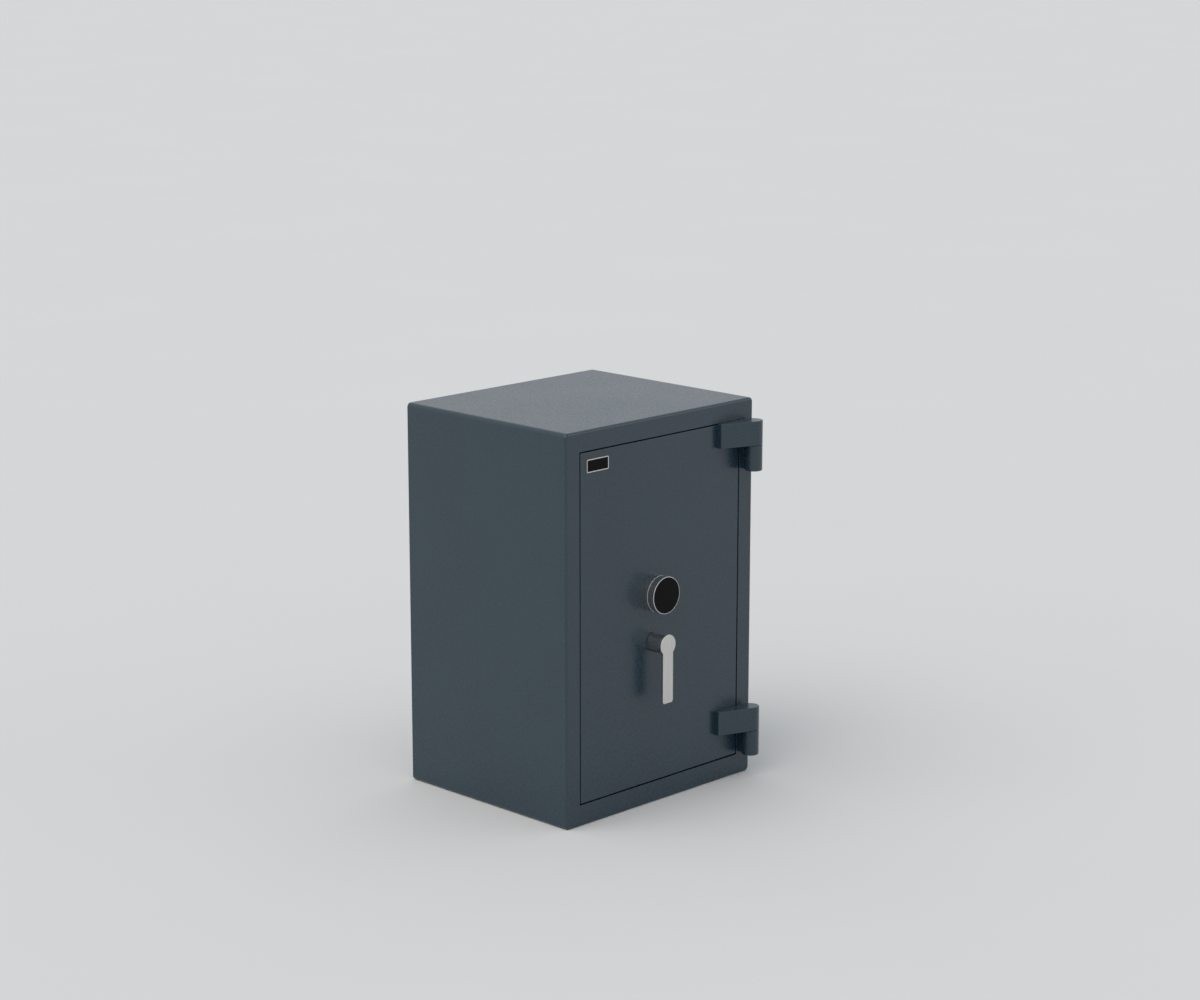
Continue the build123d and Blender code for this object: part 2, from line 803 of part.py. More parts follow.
def scroll_slot(start_angle):
    """Spiral slot with round ends: its radius grows at a steady rate over the handle's turn."""
    half = follower_radius + follower_gap
    outer, inner, ends = [], [], []
    for i in range(scroll_points):
        turn = math.radians(handle_turn) * i / (scroll_points - 1)
        radius = scroll_start + scroll_rate * turn
        angle = math.radians(start_angle) + turn
        middle = Vector(radius * math.cos(angle), radius * math.sin(angle))
        outward = Vector(math.cos(angle), math.sin(angle))
        onward = (outward * scroll_rate + outward.rotate(Axis.Z, 90) * radius).normalized()
        across = onward.rotate(Axis.Z, -90) * half
        outer.append(middle + across)
        inner.append(middle - across)
        ends.append((middle - onward * half, middle + onward * half))
    return make_face([
        Spline(*outer), ThreePointArc(outer[-1], ends[-1][1], inner[-1]),
        Spline(*reversed(inner)), ThreePointArc(inner[0], ends[0][0], outer[0]),
    ])


def make_scroll_cam():
    disc = Circle(cam_radius) - Rectangle(spindle_square + 2 * running_gap, spindle_square + 2 * running_gap)
    for start_angle in follower_angles:
        disc -= scroll_slot(start_angle)
    return slab(Pos(control_x, handle_z) * disc, cam_depth, cam_depth + cam_sheet)


def make_handle_spindle():
    start = -neck_running_gap - spindle_socket
    square_end = cam_depth + cam_sheet
    end = square_end + nut_height
    half = spindle_square / 2
    spindle = rod_y(control_x, handle_z, spindle_radius, start, cam_depth)
    spindle += block(control_x - half, control_x + half, cam_depth, square_end,
                     handle_z - half, handle_z + half)
    return spindle + rod_y(control_x, handle_z, spindle_thread_radius, square_end, end)


def make_spindle_nut():
    near = cam_depth + cam_sheet
    shape = RegularPolygon(nut_across_flats / 2, 6, major_radius=False) - Circle(spindle_thread_radius)
    return slab(Pos(control_x, handle_z) * shape, near, near + nut_height)


def make_handle_bush():
    outer = spindle_radius + running_gap + bush_wall
    bush = rod_y(control_x, handle_z, outer, 0, boltwork_depth)
    return bush - rod_y(control_x, handle_z, spindle_radius + running_gap, 0, boltwork_depth)


def make_handle_neck():
    near, far = -neck_running_gap - neck_length, -neck_running_gap
    neck = rod_y(control_x, handle_z, neck_radius, near, far)
    neck = chamfer(neck.edges().filter_by(GeomType.CIRCLE), neck_chamfer)
    return neck - rod_y(control_x, handle_z, spindle_radius + socket_gap, far - spindle_socket, far)


def make_handle_lever():
    far = -neck_running_gap - neck_length
    half = lever_width / 2
    shape = rect(control_x - half, control_x + half, handle_z - lever_reach, handle_z)
    corners = shape.vertices().group_by(Axis.Y)[0]
    shape = fillet(corners, lever_end_round)
    shape += Pos(control_x, handle_z) * Circle(lever_head_radius)
    lever = slab(shape, far - lever_thickness, far)
    return fillet(lever.faces().sort_by(Axis.Y)[0].outer_wire().edges(), lever_edge_round)


# Knob and lock

def spin(points):
    """Solid of revolution about the knob's axis from points given as radius and depth."""
    wire = Polyline(*points, close=True)
    solid = revolve(make_face(wire), axis=Axis.Y)
    return Pos(control_x, front_y, knob_z) * solid


def make_knob_base():
    inner = knob_radius - knob_wall_thickness
    bore = lock_spindle_radius + running_gap
    end = -knob_base_length
    floor = -knob_wall_thickness
    boss_end = end + knob_wall_thickness
    cut = knob_groove_chamfer
    return spin([
        (bore, 0), (knob_radius, 0), (knob_radius, end + cut), (knob_radius - cut, end), (inner, end),
        (inner, floor), (knob_boss_radius, floor), (knob_boss_radius, boss_end), (bore, boss_end),
    ])


def make_knob_sleeve():
    near = -knob_base_length - knob_groove
    end = near - knob_sleeve_length
    cut = knob_groove_chamfer
    seat = end + knob_face_depth + knob_face_drop
    rim = knob_rim_chamfer
    bore = lock_spindle_radius + socket_gap
    return spin([
        (bore, near), (knob_radius - cut, near), (knob_radius, near - cut), (knob_radius, end + rim),
        (knob_radius - rim, end), (knob_radius - knob_rim, end), (knob_radius - knob_rim, seat), (bore, seat),
    ])


def make_knob_face():
    near = -knob_base_length - knob_groove - knob_sleeve_length + knob_face_drop
    return rod_y(control_x, knob_z, knob_radius - knob_rim, near, near + knob_face_depth)


def make_lock_spindle():
    start = -knob_base_length - knob_groove - knob_sleeve_length + knob_face_drop + knob_face_depth
    return rod_y(control_x, knob_z, lock_spindle_radius, start, lock_spindle_end_depth)


def lock_bolt_x():
    return control_x - lock_bolt_offset


def make_lock_case():
    near, far = boltwork_depth, boltwork_depth + lock_case_thickness
    shape = rect(control_x - lock_case_left, control_x + lock_case_right, knob_z - lock_case_below,
                 knob_z + lock_case_above, lock_case_round)
    case = slab(shape, near, far)
    case -= rod_y(control_x, knob_z, lock_spindle_radius + running_gap, near, lock_spindle_end_depth)
    half = lock_bolt_width / 2 + lock_bolt_gap
    low = knob_z - lock_case_below
    case -= block(lock_bolt_x() - half, lock_bolt_x() + half, lock_bolt_depth - lock_bolt_gap,
                  lock_bolt_depth + lock_bolt_thickness + lock_bolt_gap,
                  low, low + lock_bolt_length + lock_bolt_gap)
    return case


def make_lock_case_screws():
    near = boltwork_depth + lock_case_thickness
    left, right = control_x - lock_case_left, control_x + lock_case_right
    bottom, top = knob_z - lock_case_below, knob_z + lock_case_above
    return Compound([
        rod_y(x, z, lock_screw_radius, near, near + lock_screw_head)
        for x in (left + lock_screw_inset, right - lock_screw_inset)
        for z in (bottom + lock_screw_inset, top - lock_screw_inset)
    ])


def make_lock_bolt():
    half = lock_bolt_width / 2
    low = knob_z - lock_case_below
    return block(lock_bolt_x() - half, lock_bolt_x() + half, lock_bolt_depth,
                 lock_bolt_depth + lock_bolt_thickness, low, low + lock_bolt_length)


def build():
    nodes = {
        "outer_casing": make_outer_casing(),
        "back_panel": make_back_panel(),
        "front_frame": make_front_frame(),
        "body_infill": make_body_infill(),
        "inner_liner": make_inner_liner(),
        "bolt_pockets": make_bolt_pockets(),
        "dog_pockets": make_dog_pockets(),
        "anchor_sleeves": make_anchor_sleeves(),
        "door_seal": make_door_seal(),
        "upper_shelf": make_shelf(upper_shelf_slot),
        "lower_shelf": make_shelf(lower_shelf_slot),
        "upper_shelf_clips": make_shelf_clips(upper_shelf_slot),
        "lower_shelf_clips": make_shelf_clips(lower_shelf_slot),
        "door_plate": make_door_plate(),
        "door_barrier": door_sheet(plate_thickness, mounting_depth),
        "mounting_plate": door_sheet(mounting_depth, boltwork_depth),
        "door_box": make_door_box(),
        "door_cover": make_door_cover(),
        "door_cover_screws": make_cover_screws(),
        "hinge_side_dogs": make_hinge_side_dogs(),
        "badge_frame": make_badge_frame(),
        "badge_plate": make_badge_plate(),
        "side_bolt_bar": make_side_bolt_bar(),
        "side_bolts": make_side_bolts(),
        "side_bolt_screws": make_side_bolt_screws(),
        "side_follower_pin": follower_pin(control_x - scroll_start, handle_z),
        "top_bolt_bar": make_top_bolt_bar(),
        "top_bolt": make_top_bolt(),
        "top_follower_pin": follower_pin(control_x, handle_z + scroll_start),
        "bottom_bolt_bar": make_bottom_bolt_bar(),
        "bottom_bolt": make_bottom_bolt(),
        "bottom_follower_pin": follower_pin(control_x, handle_z - scroll_start),
        "guide_posts": make_guide_posts(),
        "handle_bush": make_handle_bush(),
        "handle_neck": make_handle_neck(),
        "handle_lever": make_handle_lever(),
        "handle_spindle": make_handle_spindle(),
        "scroll_cam": make_scroll_cam(),
        "spindle_nut": make_spindle_nut(),
        "knob_base": make_knob_base(),
        "knob_sleeve": make_knob_sleeve(),
        "knob_face": make_knob_face(),
        "lock_spindle": make_lock_spindle(),
        "lock_case": make_lock_case(),
        "lock_case_screws": make_lock_case_screws(),
        "lock_bolt": make_lock_bolt(),
    }
    for side, side_name in ((-1, "left"), (1, "right")):
        for at_depth, depth_name in ((strip_front_depth, "front"), (strip_rear_depth, "rear")):
            nodes[f"shelf_strip_{side_name}_{depth_name}"] = make_shelf_strip(side, at_depth)
    for bottom, name in ((lower_hinge_bottom, "lower"), (upper_hinge_bottom, "upper")):
        nodes[f"{name}_hinge_strap"] = make_hinge_strap(bottom)
        nodes[f"{name}_hinge_knuckle"] = make_hinge_knuckle(bottom)
        nodes[f"{name}_hinge_pin"] = make_hinge_pin(bottom)
        nodes[f"{name}_hinge_washer"] = make_hinge_washer(bottom)
    return nodes


os.makedirs("parts", exist_ok=True)
for node_name, solid in build().items():
    solid.label = node_name
    export_step(solid, f"parts/{node_name}.step")
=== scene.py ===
"""Looks of a security safe: powder coat, satin metal, plated boltwork and a plain studio stage."""

import math

import bmesh
import bpy
from bpy.props import FloatProperty, FloatVectorProperty, IntProperty, PointerProperty
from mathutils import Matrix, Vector


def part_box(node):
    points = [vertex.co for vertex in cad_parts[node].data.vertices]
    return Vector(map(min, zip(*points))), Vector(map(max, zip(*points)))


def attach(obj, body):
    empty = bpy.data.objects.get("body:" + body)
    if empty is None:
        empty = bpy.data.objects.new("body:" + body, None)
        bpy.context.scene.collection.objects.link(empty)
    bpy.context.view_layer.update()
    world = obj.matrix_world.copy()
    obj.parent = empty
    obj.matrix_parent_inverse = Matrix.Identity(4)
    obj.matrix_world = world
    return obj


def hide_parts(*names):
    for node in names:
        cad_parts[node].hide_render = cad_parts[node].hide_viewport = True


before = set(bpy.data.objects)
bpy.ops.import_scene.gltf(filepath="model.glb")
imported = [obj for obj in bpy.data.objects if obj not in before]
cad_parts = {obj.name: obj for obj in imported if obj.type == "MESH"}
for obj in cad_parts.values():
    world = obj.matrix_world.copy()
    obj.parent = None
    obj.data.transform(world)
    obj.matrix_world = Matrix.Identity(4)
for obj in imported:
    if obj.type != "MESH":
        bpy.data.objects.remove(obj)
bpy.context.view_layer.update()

bl_info = {
    "name": "Security safe looks",
    "version": (1, 0, 0),
    "blender": (4, 5, 0),
    "location": "View3D > Sidebar > Safe",
    "description": "Dresses a security safe in powder coat, satin metal and plated steel",
    "category": "Object",
}


# Places of a Mix node's colour sockets
MIX_SHARE = 0
MIX_FIRST = 6
MIX_SECOND = 7
MIX_RESULT = 2

# How alike the real and the rounded normal are on a flat and on an edge
FLAT_LIKENESS = 0.995
EDGE_LIKENESS = 0.90

# Coat, and grain in lines per metre: many lines across, few along the way that it runs
COAT_IOR = 1.56
SATIN_LINES = 900.0
LEVER_RUN = 14.0
BADGE_RUN = 40.0
TURNED_LINES = 2600.0
TURNED_RUN = 60.0
LATHE_LINES = 5200.0
LATHE_ROUGHNESS = 0.24
BOLT_ROUGHNESS = 0.2
BOLT_EDGE = 0.0004

# Height of metal grain, in metres
METAL_RELIEF = 0.00004
LATHE_RELIEF = 0.00007

# Colours that no setting changes
PLATED_SHEET = (0.58, 0.59, 0.60)
PLATED_SCREW = (0.62, 0.62, 0.62)
PLATED_TINT = (0.60, 0.57, 0.50, 1.0)
BRIGHT_STEEL = (0.66, 0.66, 0.67)
BRASS = (0.70, 0.52, 0.25)
CAST_CASE = (0.42, 0.43, 0.44)
SEAL_BLACK = (0.02, 0.02, 0.02)
FILLING_STONE = (0.42, 0.41, 0.38)
FACE_BLACK = (0.0035, 0.0035, 0.0038)
DUST = (0.03, 0.03, 0.03, 1.0)

# Screw heads: share of the head's height and radius of each ring of the dome, and of its flat top
DOME_RINGS = ((0.3, 1.0), (0.7, 0.9), (0.93, 0.72))
DOME_TOP = 0.5
HEAD_EDGE = 0.95
SHANK_CLEAR = 0.0001
SAME_PLACE = 1e-6
SHARP_ANGLE = 35.0

# Stage: metres and degrees, and where each light stands as seen from the safe
FLOOR_HALF = 60.0
FLOOR_CLOUDS = 1.3
OVERHEAD_FROM = (-0.62, 0.05, 0.78)
OVERHEAD_SPREAD = 60.0
SIDE_FROM = (0.70, -0.70, 0.12)
SIDE_SPREAD = 34.0
LIGHT_AWAY = 4.0
SENSOR_WIDTH = 36.0
FAR_CLIP = 200.0


# Sockets as numbers: an expression on them adds its nodes

class Value:
    """A socket that can be added, multiplied and raised to a power like a number."""

    def __init__(self, graph, socket):
        self.graph = graph
        self.socket = socket

    def _maths(self, operation, first, second):
        return self.graph.node("ShaderNodeMath", {"operation": operation}, {0: first, 1: second})

    def __add__(self, other):
        return self._maths("ADD", self, other)

    __radd__ = __add__

    def __sub__(self, other):
        return self._maths("SUBTRACT", self, other)

    def __rsub__(self, other):
        return self._maths("SUBTRACT", other, self)

    def __mul__(self, other):
        return self._maths("MULTIPLY", self, other)

    __rmul__ = __mul__

    def __pow__(self, other):
        return self._maths("POWER", self, other)

    def __rpow__(self, other):
        return self._maths("POWER", other, self)

    def ramp(self, low, high):
        """0 at low, 1 at high, smooth between."""
        settings = {"interpolation_type": "SMOOTHSTEP"}
        values = {"Value": self, "From Min": low, "From Max": high}
        return self.graph.node("ShaderNodeMapRange", settings, values)


class Graph:
    """The node tree of one material."""

    def __init__(self, name):
        self.material = bpy.data.materials.new(name)
        self.material.use_nodes = True
        self.tree = self.material.node_tree
        self.tree.nodes.clear()
        self.place = self.node("ShaderNodeTexCoord", {}, {}, "Object")

    def node(self, kind, settings, values, output=0):
        """Adds a node, gives it its settings first, then its socket values or links."""
        made = self.tree.nodes.new(kind)
        for key, value in settings.items():
            setattr(made, key, value)
        for key, value in values.items():
            socket = made.inputs[key]
            if isinstance(value, Value):
                self.tree.links.new(value.socket, socket)
            else:
                socket.default_value = value
        return Value(self, made.outputs[output]) if made.outputs else made

    def noise(self, scale, detail=2.0, roughness=0.5, place=None):
        values = {"Vector": place or self.place, "Scale": scale, "Detail": detail, "Roughness": roughness}
        return self.node("ShaderNodeTexNoise", {}, values)

    def cells(self, scale):
        values = {"Vector": self.place, "Scale": scale}
        return self.node("ShaderNodeTexVoronoi", {"feature": "SMOOTH_F1"}, values)

    def stretched(self, scale):
        """Object place scaled by axis, for brushed grain."""
        return self.node("ShaderNodeMapping", {}, {"Vector": self.place, "Scale": scale})

    def parts(self, vector):
        """X, Y and Z of a vector as three values."""
        made = self.tree.nodes.new("ShaderNodeSeparateXYZ")
        self.tree.links.new(vector.socket, made.inputs[0])
        return [Value(self, socket) for socket in made.outputs]

    def mix(self, share, first, second):
        """Colour between two colours."""
        made = self.tree.nodes.new("ShaderNodeMix")
        made.data_type = "RGBA"
        for place, value in ((MIX_SHARE, share), (MIX_FIRST, first), (MIX_SECOND, second)):
            socket = made.inputs[place]
            if isinstance(value, Value):
                self.tree.links.new(value.socket, socket)
            else:
                socket.default_value = value
        return Value(self, made.outputs[MIX_RESULT])

    def edge_normal(self, radius):
        """Normal that rounds the sharp edges a little."""
        return self.node("ShaderNodeBevel", {"samples": 4}, {"Radius": radius}, "Normal")

    def edges(self, radius):
        """1 on the edges and 0 on the flats, from how far the rounded normal leaves the real one."""
        true_normal = self.node("ShaderNodeNewGeometry", {}, {}, "Normal")
        values = {0: self.edge_normal(radius), 1: true_normal}
        likeness = self.node("ShaderNodeVectorMath", {"operation": "DOT_PRODUCT"}, values, "Value")
        return likeness.ramp(FLAT_LIKENESS, EDGE_LIKENESS)

    def bump(self, height, distance, strength, normal=None):
        values = {"Height": height, "Distance": distance, "Strength": strength}
        if normal is not None:
            values["Normal"] = normal
        return self.node("ShaderNodeBump", {}, values)

    def finish(self, values):
        """Surface shader from the values and links of its sockets."""
        shader = self.node("ShaderNodeBsdfPrincipled", {}, values)
        self.node("ShaderNodeOutputMaterial", {}, {"Surface": shader})
        return self.material


def rgba(colour):
    return (colour[0], colour[1], colour[2], 1.0)


def shade(colour, factor):
    return tuple(min(1.0, part * factor) for part in colour[:3]) + (1.0,)


# Finishes

def powder_coat(name, colour, props, mottle=1.0):
    """Fine orange-peel powder coat, thinner and paler on the edges; mottle is how uneven its tone is."""
    graph = Graph(name)
    grain = graph.noise(props.grain_scale, 2.0, 0.55)
    peel = graph.noise(props.grain_scale * 0.3, 1.0, 0.5)
    cloud = graph.noise(6.0, 3.0, 0.5)
    worn = graph.edges(props.edge_softness * 2.0) * graph.noise(35.0, 3.0).ramp(0.3, 0.65)
    tone = graph.mix(cloud.ramp(0.25, 0.75), shade(colour, 0.94), shade(colour, 1.06))
    tone = graph.mix(peel.ramp(0.35, 0.65) * (0.4 * mottle), tone, shade(colour, 1.2))
    tone = graph.mix(grain.ramp(0.6, 0.36) * (0.35 * mottle), tone, shade(colour, 0.7))
    tone = graph.mix(worn * (0.5 * mottle), tone, shade(colour, 1.9))
    height = grain * 0.35 + peel
    normal = graph.bump(height, props.grain_height, 0.6, graph.edge_normal(props.edge_softness))
    rough = props.coat_roughness + (grain - 0.5) * 0.12 + (peel - 0.5) * 0.2 + (cloud - 0.5) * 0.06
    return graph.finish({"Base Color": tone, "Roughness": rough, "Normal": normal, "IOR": COAT_IOR})


def brushed_metal(name, colour, roughness, edge, place, relief=METAL_RELIEF):
    """Satin metal with its grain in the given place, bright along its edges."""
    graph = Graph(name)
    lines = graph.noise(1.0, 3.0, 0.6, place(graph))
    smear = graph.noise(9.0, 2.0, 0.5)
    tone = graph.mix(lines.ramp(0.3, 0.7), shade(colour, 0.93), shade(colour, 1.05))
    tone = graph.mix(smear.ramp(0.45, 0.8) * 0.25, tone, shade(colour, 0.9))
    tone = graph.mix(graph.edges(edge * 1.5) * 0.6, tone, shade(colour, 1.3))
    rough = roughness + (lines - 0.5) * 0.16 + (smear - 0.5) * 0.05
    normal = graph.bump(lines, relief, 0.6, graph.edge_normal(edge))
    return graph.finish({"Base Color": tone, "Metallic": 1.0, "Roughness": rough, "Normal": normal})


def straight(x, y, z):
    """Grain by axis, in lines per metre: the smallest number is the way it runs."""
    return lambda graph: graph.stretched((x, y, z))


def turned(node):
    """Lathe grain: lines that run round the depth axis of a CAD node."""
    low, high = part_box(node)
    middle = (low + high) / 2

    def place(graph):
        x, y, z = graph.parts(graph.place)
        across, up = x - middle.x, z - middle.z
        radius = (across * across + up * up) ** 0.5
        values = {"X": radius * SATIN_LINES, "Y": y * LATHE_LINES, "Z": radius * SATIN_LINES}
        return graph.node("ShaderNodeCombineXYZ", {}, values)

    return place


def plated_steel(name, colour):
    """Zinc plated sheet: pale, faintly clouded, with rolled grain."""
    graph = Graph(name)
    flakes = graph.cells(160.0)
    grain = graph.noise(1.0, 2.0, 0.5, graph.stretched((900.0, 900.0, 40.0)))
    tone = graph.mix(flakes.ramp(0.1, 0.7), shade(colour, 1.06), shade(colour, 0.86))
    tone = graph.mix(graph.noise(14.0).ramp(0.4, 0.8) * 0.3, tone, PLATED_TINT)
    rough = 0.36 + (flakes - 0.5) * 0.12 + (grain - 0.5) * 0.1
    normal = graph.bump(grain, 0.00003, 0.4, graph.edge_normal(0.0004))
    return graph.finish({"Base Color": tone, "Metallic": 0.95, "Roughness": rough, "Normal": normal})


def smooth_black(name, colour):
    """Plain black face with the faintest dust."""
    graph = Graph(name)
    dust = graph.noise(1500.0, 1.0).ramp(0.66, 0.8)
    smear = graph.noise(30.0, 2.0)
    tone = graph.mix(dust * 0.1, rgba(colour), DUST)
    rough = 0.34 + (smear - 0.5) * 0.12
    normal = graph.bump(graph.noise(700.0), 0.00001, 0.2)
    values = {"Base Color": tone, "Roughness": rough, "Normal": normal, "Specular IOR Level": 0.06}
    return graph.finish(values)


def cast_filling(name, colour):
    """Rough cast stone with sand between its grains."""
    graph = Graph(name)
    stones = graph.cells(140.0)
    sand = graph.noise(900.0, 3.0)
    tone = graph.mix(stones.ramp(0.2, 0.8), shade(colour, 1.1), shade(colour, 0.75))
    tone = graph.mix(sand.ramp(0.4, 0.7) * 0.3, tone, shade(colour, 0.6))
    normal = graph.bump(sand + stones * 0.5, 0.0006, 0.6)
    return graph.finish({"Base Color": tone, "Roughness": 0.9 + (sand - 0.5) * 0.1, "Normal": normal})


def cast_metal(name, colour, metallic, roughness):
    """Die cast or turned metal with a fine grain."""
    graph = Graph(name)
    grain = graph.noise(1100.0, 2.0)
    smear = graph.noise(25.0, 2.0)
    tone = graph.mix(smear.ramp(0.3, 0.7), shade(colour, 0.9), shade(colour, 1.06))
    rough = roughness + (grain - 0.5) * 0.2 + (smear - 0.5) * 0.1
    normal = graph.bump(grain, 0.00006, 0.5, graph.edge_normal(0.0003))
    return graph.finish({"Base Color": tone, "Metallic": metallic, "Roughness": rough, "Normal": normal})


def matt_rubber(name, colour):
    """Dull rubber with a fine grain."""
    graph = Graph(name)
    grain = graph.noise(1800.0, 2.0)
    tone = graph.mix(grain.ramp(0.4, 0.7) * 0.5, rgba(colour), shade(colour, 2.0))
    normal = graph.bump(grain, 0.00005, 0.5)
    return graph.finish({"Base Color": tone, "Roughness": 0.75 + (grain - 0.5) * 0.2, "Normal": normal})


def dress(nodes, material):
    """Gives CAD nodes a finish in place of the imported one."""
    missing = [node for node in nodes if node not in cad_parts]
    if missing:
        raise RuntimeError("The frame has no node named " + ", ".join(missing))
    for node in nodes:
        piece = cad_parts[node]
        piece.data.materials.clear()
        piece.data.materials.append(material)


# Screws

def loose_parts(node):
    """Vertex places of each separate solid of a CAD node, in the mesh's own order."""
    mesh = bmesh.new()
    mesh.from_mesh(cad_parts[node].data)
    bmesh.ops.remove_doubles(mesh, verts=mesh.verts, dist=SAME_PLACE)
    seen = set()
    parts = []
    for start in mesh.verts:
        if start in seen:
            continue
        seen.add(start)
        stack = [start]
        places = []
        while stack:
            vertex = stack.pop()
            places.append(vertex.co.copy())
            for edge in vertex.link_edges:
                near = edge.other_vert(vertex)
                if near not in seen:
                    seen.add(near)
                    stack.append(near)
        parts.append(places)
    mesh.free()
    return parts


def screw_profile(places, props):
    """Depth and outline of each ring of a screw that fits the solid, from its tip to its socket."""
    x = [place.x for place in places]
    z = [place.z for place in places]
    centre = ((min(x) + max(x)) / 2, (min(z) + max(z)) / 2)
    head = (max(x) - min(x)) / 2
    tip = min(place.y for place in places)
    top = max(place.y for place in places)
    under = min(place.y for place in places if math.dist((place.x, place.z), centre) > head * HEAD_EDGE)
    shank = max(math.dist((place.x, place.z), centre) for place in places if place.y < under - SHANK_CLEAR)
    rise = top - under

    def hexagon(angle):
        return props.socket_width / 2 / math.cos(angle % (math.pi / 3) - math.pi / 6)

    rings = [(tip, shank), (under, shank), (under, head)]
    rings += [(under + rise * height, head * width) for height, width in DOME_RINGS]
    rings += [(top, head * DOME_TOP), (top, hexagon), (top - props.socket_depth, hexagon)]
    return centre, rings


def add_screw(mesh, places, props):
    """Closed screw from its rings, with a face at the tip and one in the socket."""
    centre, rings = screw_profile(places, props)
    count = props.screw_segments * 6
    loops = []
    for depth, outline in rings:
        loop = []
        for i in range(count):
            angle = 2 * math.pi * i / count
            radius = outline(angle) if callable(outline) else outline
            loop.append(mesh.verts.new((centre[0] + radius * math.cos(angle), depth,
                                        centre[1] + radius * math.sin(angle))))
        loops.append(loop)
    for first, second in zip(loops, loops[1:]):
        for i in range(count):
            after = (i + 1) % count
            mesh.faces.new((first[i], first[after], second[after], second[i]))
    mesh.faces.new(loops[0])
    mesh.faces.new(loops[-1])


# Settings a user would change

class SafeFinish(bpy.types.PropertyGroup):
    coat_colour: FloatVectorProperty(
        name="Coat", description="Powder coat of body and door", subtype="COLOR",
        size=3, min=0.0, max=1.0, default=(0.0148, 0.0342, 0.0505))
    inside_colour: FloatVectorProperty(
        name="Inside coat", description="Powder coat of the liner and the shelves", subtype="COLOR",
        size=3, min=0.0, max=1.0, default=(0.42, 0.44, 0.45))
    satin_colour: FloatVectorProperty(
        name="Satin metal", description="Lever, knob and badge frame", subtype="COLOR",
        size=3, min=0.0, max=1.0, default=(0.62, 0.61, 0.60))
    grain_scale: FloatProperty(
        name="Coat grain", description="Grains of the coat per metre", default=620.0, min=50.0)
    grain_height: FloatProperty(
        name="Grain height", description="Height of the coat's grain", default=0.00012,
        subtype="DISTANCE", unit="LENGTH", precision=5)
    edge_softness: FloatProperty(
        name="Edge softness", description="How far the coat rounds a sheet's edge", default=0.0007,
        subtype="DISTANCE", unit="LENGTH", precision=5)
    coat_roughness: FloatProperty(
        name="Coat roughness", description="How matt the coat is", default=0.28, min=0.0, max=1.0)
    socket_width: FloatProperty(
        name="Socket width", description="Hexagon socket of a cover screw, across its flats", default=0.0025,
        subtype="DISTANCE", unit="LENGTH", precision=4)
    socket_depth: FloatProperty(
        name="Socket depth", description="Depth of the hexagon socket", default=0.0013,
        subtype="DISTANCE", unit="LENGTH", precision=4)
    screw_segments: IntProperty(
        name="Screw segments", description="Sides of a screw head on each side of its socket",
        default=6, min=1, max=24)


class SafeStage(bpy.types.PropertyGroup):
    floor_colour: FloatVectorProperty(
        name="Floor", description="Colour of the studio floor", subtype="COLOR",
        size=3, min=0.0, max=1.0, default=(0.66, 0.66, 0.66))
    sky_colour: FloatVectorProperty(
        name="Sky", description="Colour of the light all round", subtype="COLOR",
        size=3, min=0.0, max=1.0, default=(0.70, 0.73, 0.755))
    backdrop_colour: FloatVectorProperty(
        name="Backdrop", description="What the camera sees beyond the floor", subtype="COLOR",
        size=3, min=0.0, max=1.0, default=(0.655, 0.66, 0.66))
    light_colour: FloatVectorProperty(
        name="Light", description="Colour of the two soft lights", subtype="COLOR",
        size=3, min=0.0, max=1.0, default=(1.0, 0.95, 0.90))
    overhead_strength: FloatProperty(
        name="Overhead", description="Strength of the soft light from above left", default=1.18, min=0.0)
    side_strength: FloatProperty(
        name="Side", description="Strength of the soft light from the front right", default=0.22, min=0.0)
    camera_place: FloatVectorProperty(
        name="Camera", description="Where the camera stands", subtype="XYZ", size=3, unit="LENGTH",
        default=(-4.0052, -4.0055, 1.8885))
    camera_yaw: FloatProperty(
        name="Yaw", description="Turn of the view from the depth axis to the hinge side",
        default=math.radians(45.386), subtype="ANGLE", unit="ROTATION")
    camera_pitch: FloatProperty(
        name="Pitch", description="How far the view looks down",
        default=math.radians(12.902), subtype="ANGLE", unit="ROTATION")
    camera_lens: FloatProperty(
        name="Lens", description="Focal length on a 36 mm wide sensor, in millimetres", default=85.0, min=1.0)


class SAFE_OT_coat_body(bpy.types.Operator):
    """Powder coat on the body, the door and the hinges"""

    bl_idname = "safe.coat_body"
    bl_label = "Coat body and door"

    def execute(self, context):
        props = context.scene.safe_finish
        dress(
            ["outer_casing", "back_panel", "front_frame", "door_plate", "door_box", "door_cover",
             "upper_hinge_strap", "lower_hinge_strap", "upper_hinge_knuckle", "lower_hinge_knuckle"],
            powder_coat("graphite_coat", props.coat_colour, props),
        )
        return {"FINISHED"}


class SAFE_OT_coat_inside(bpy.types.Operator):
    """Light coat on the liner and the shelves"""

    bl_idname = "safe.coat_inside"
    bl_label = "Coat the inside"

    def execute(self, context):
        props = context.scene.safe_finish
        nodes = ["inner_liner", "upper_shelf", "lower_shelf"]
        dress(nodes, powder_coat("inside_coat", props.inside_colour, props, 0.3))
        return {"FINISHED"}


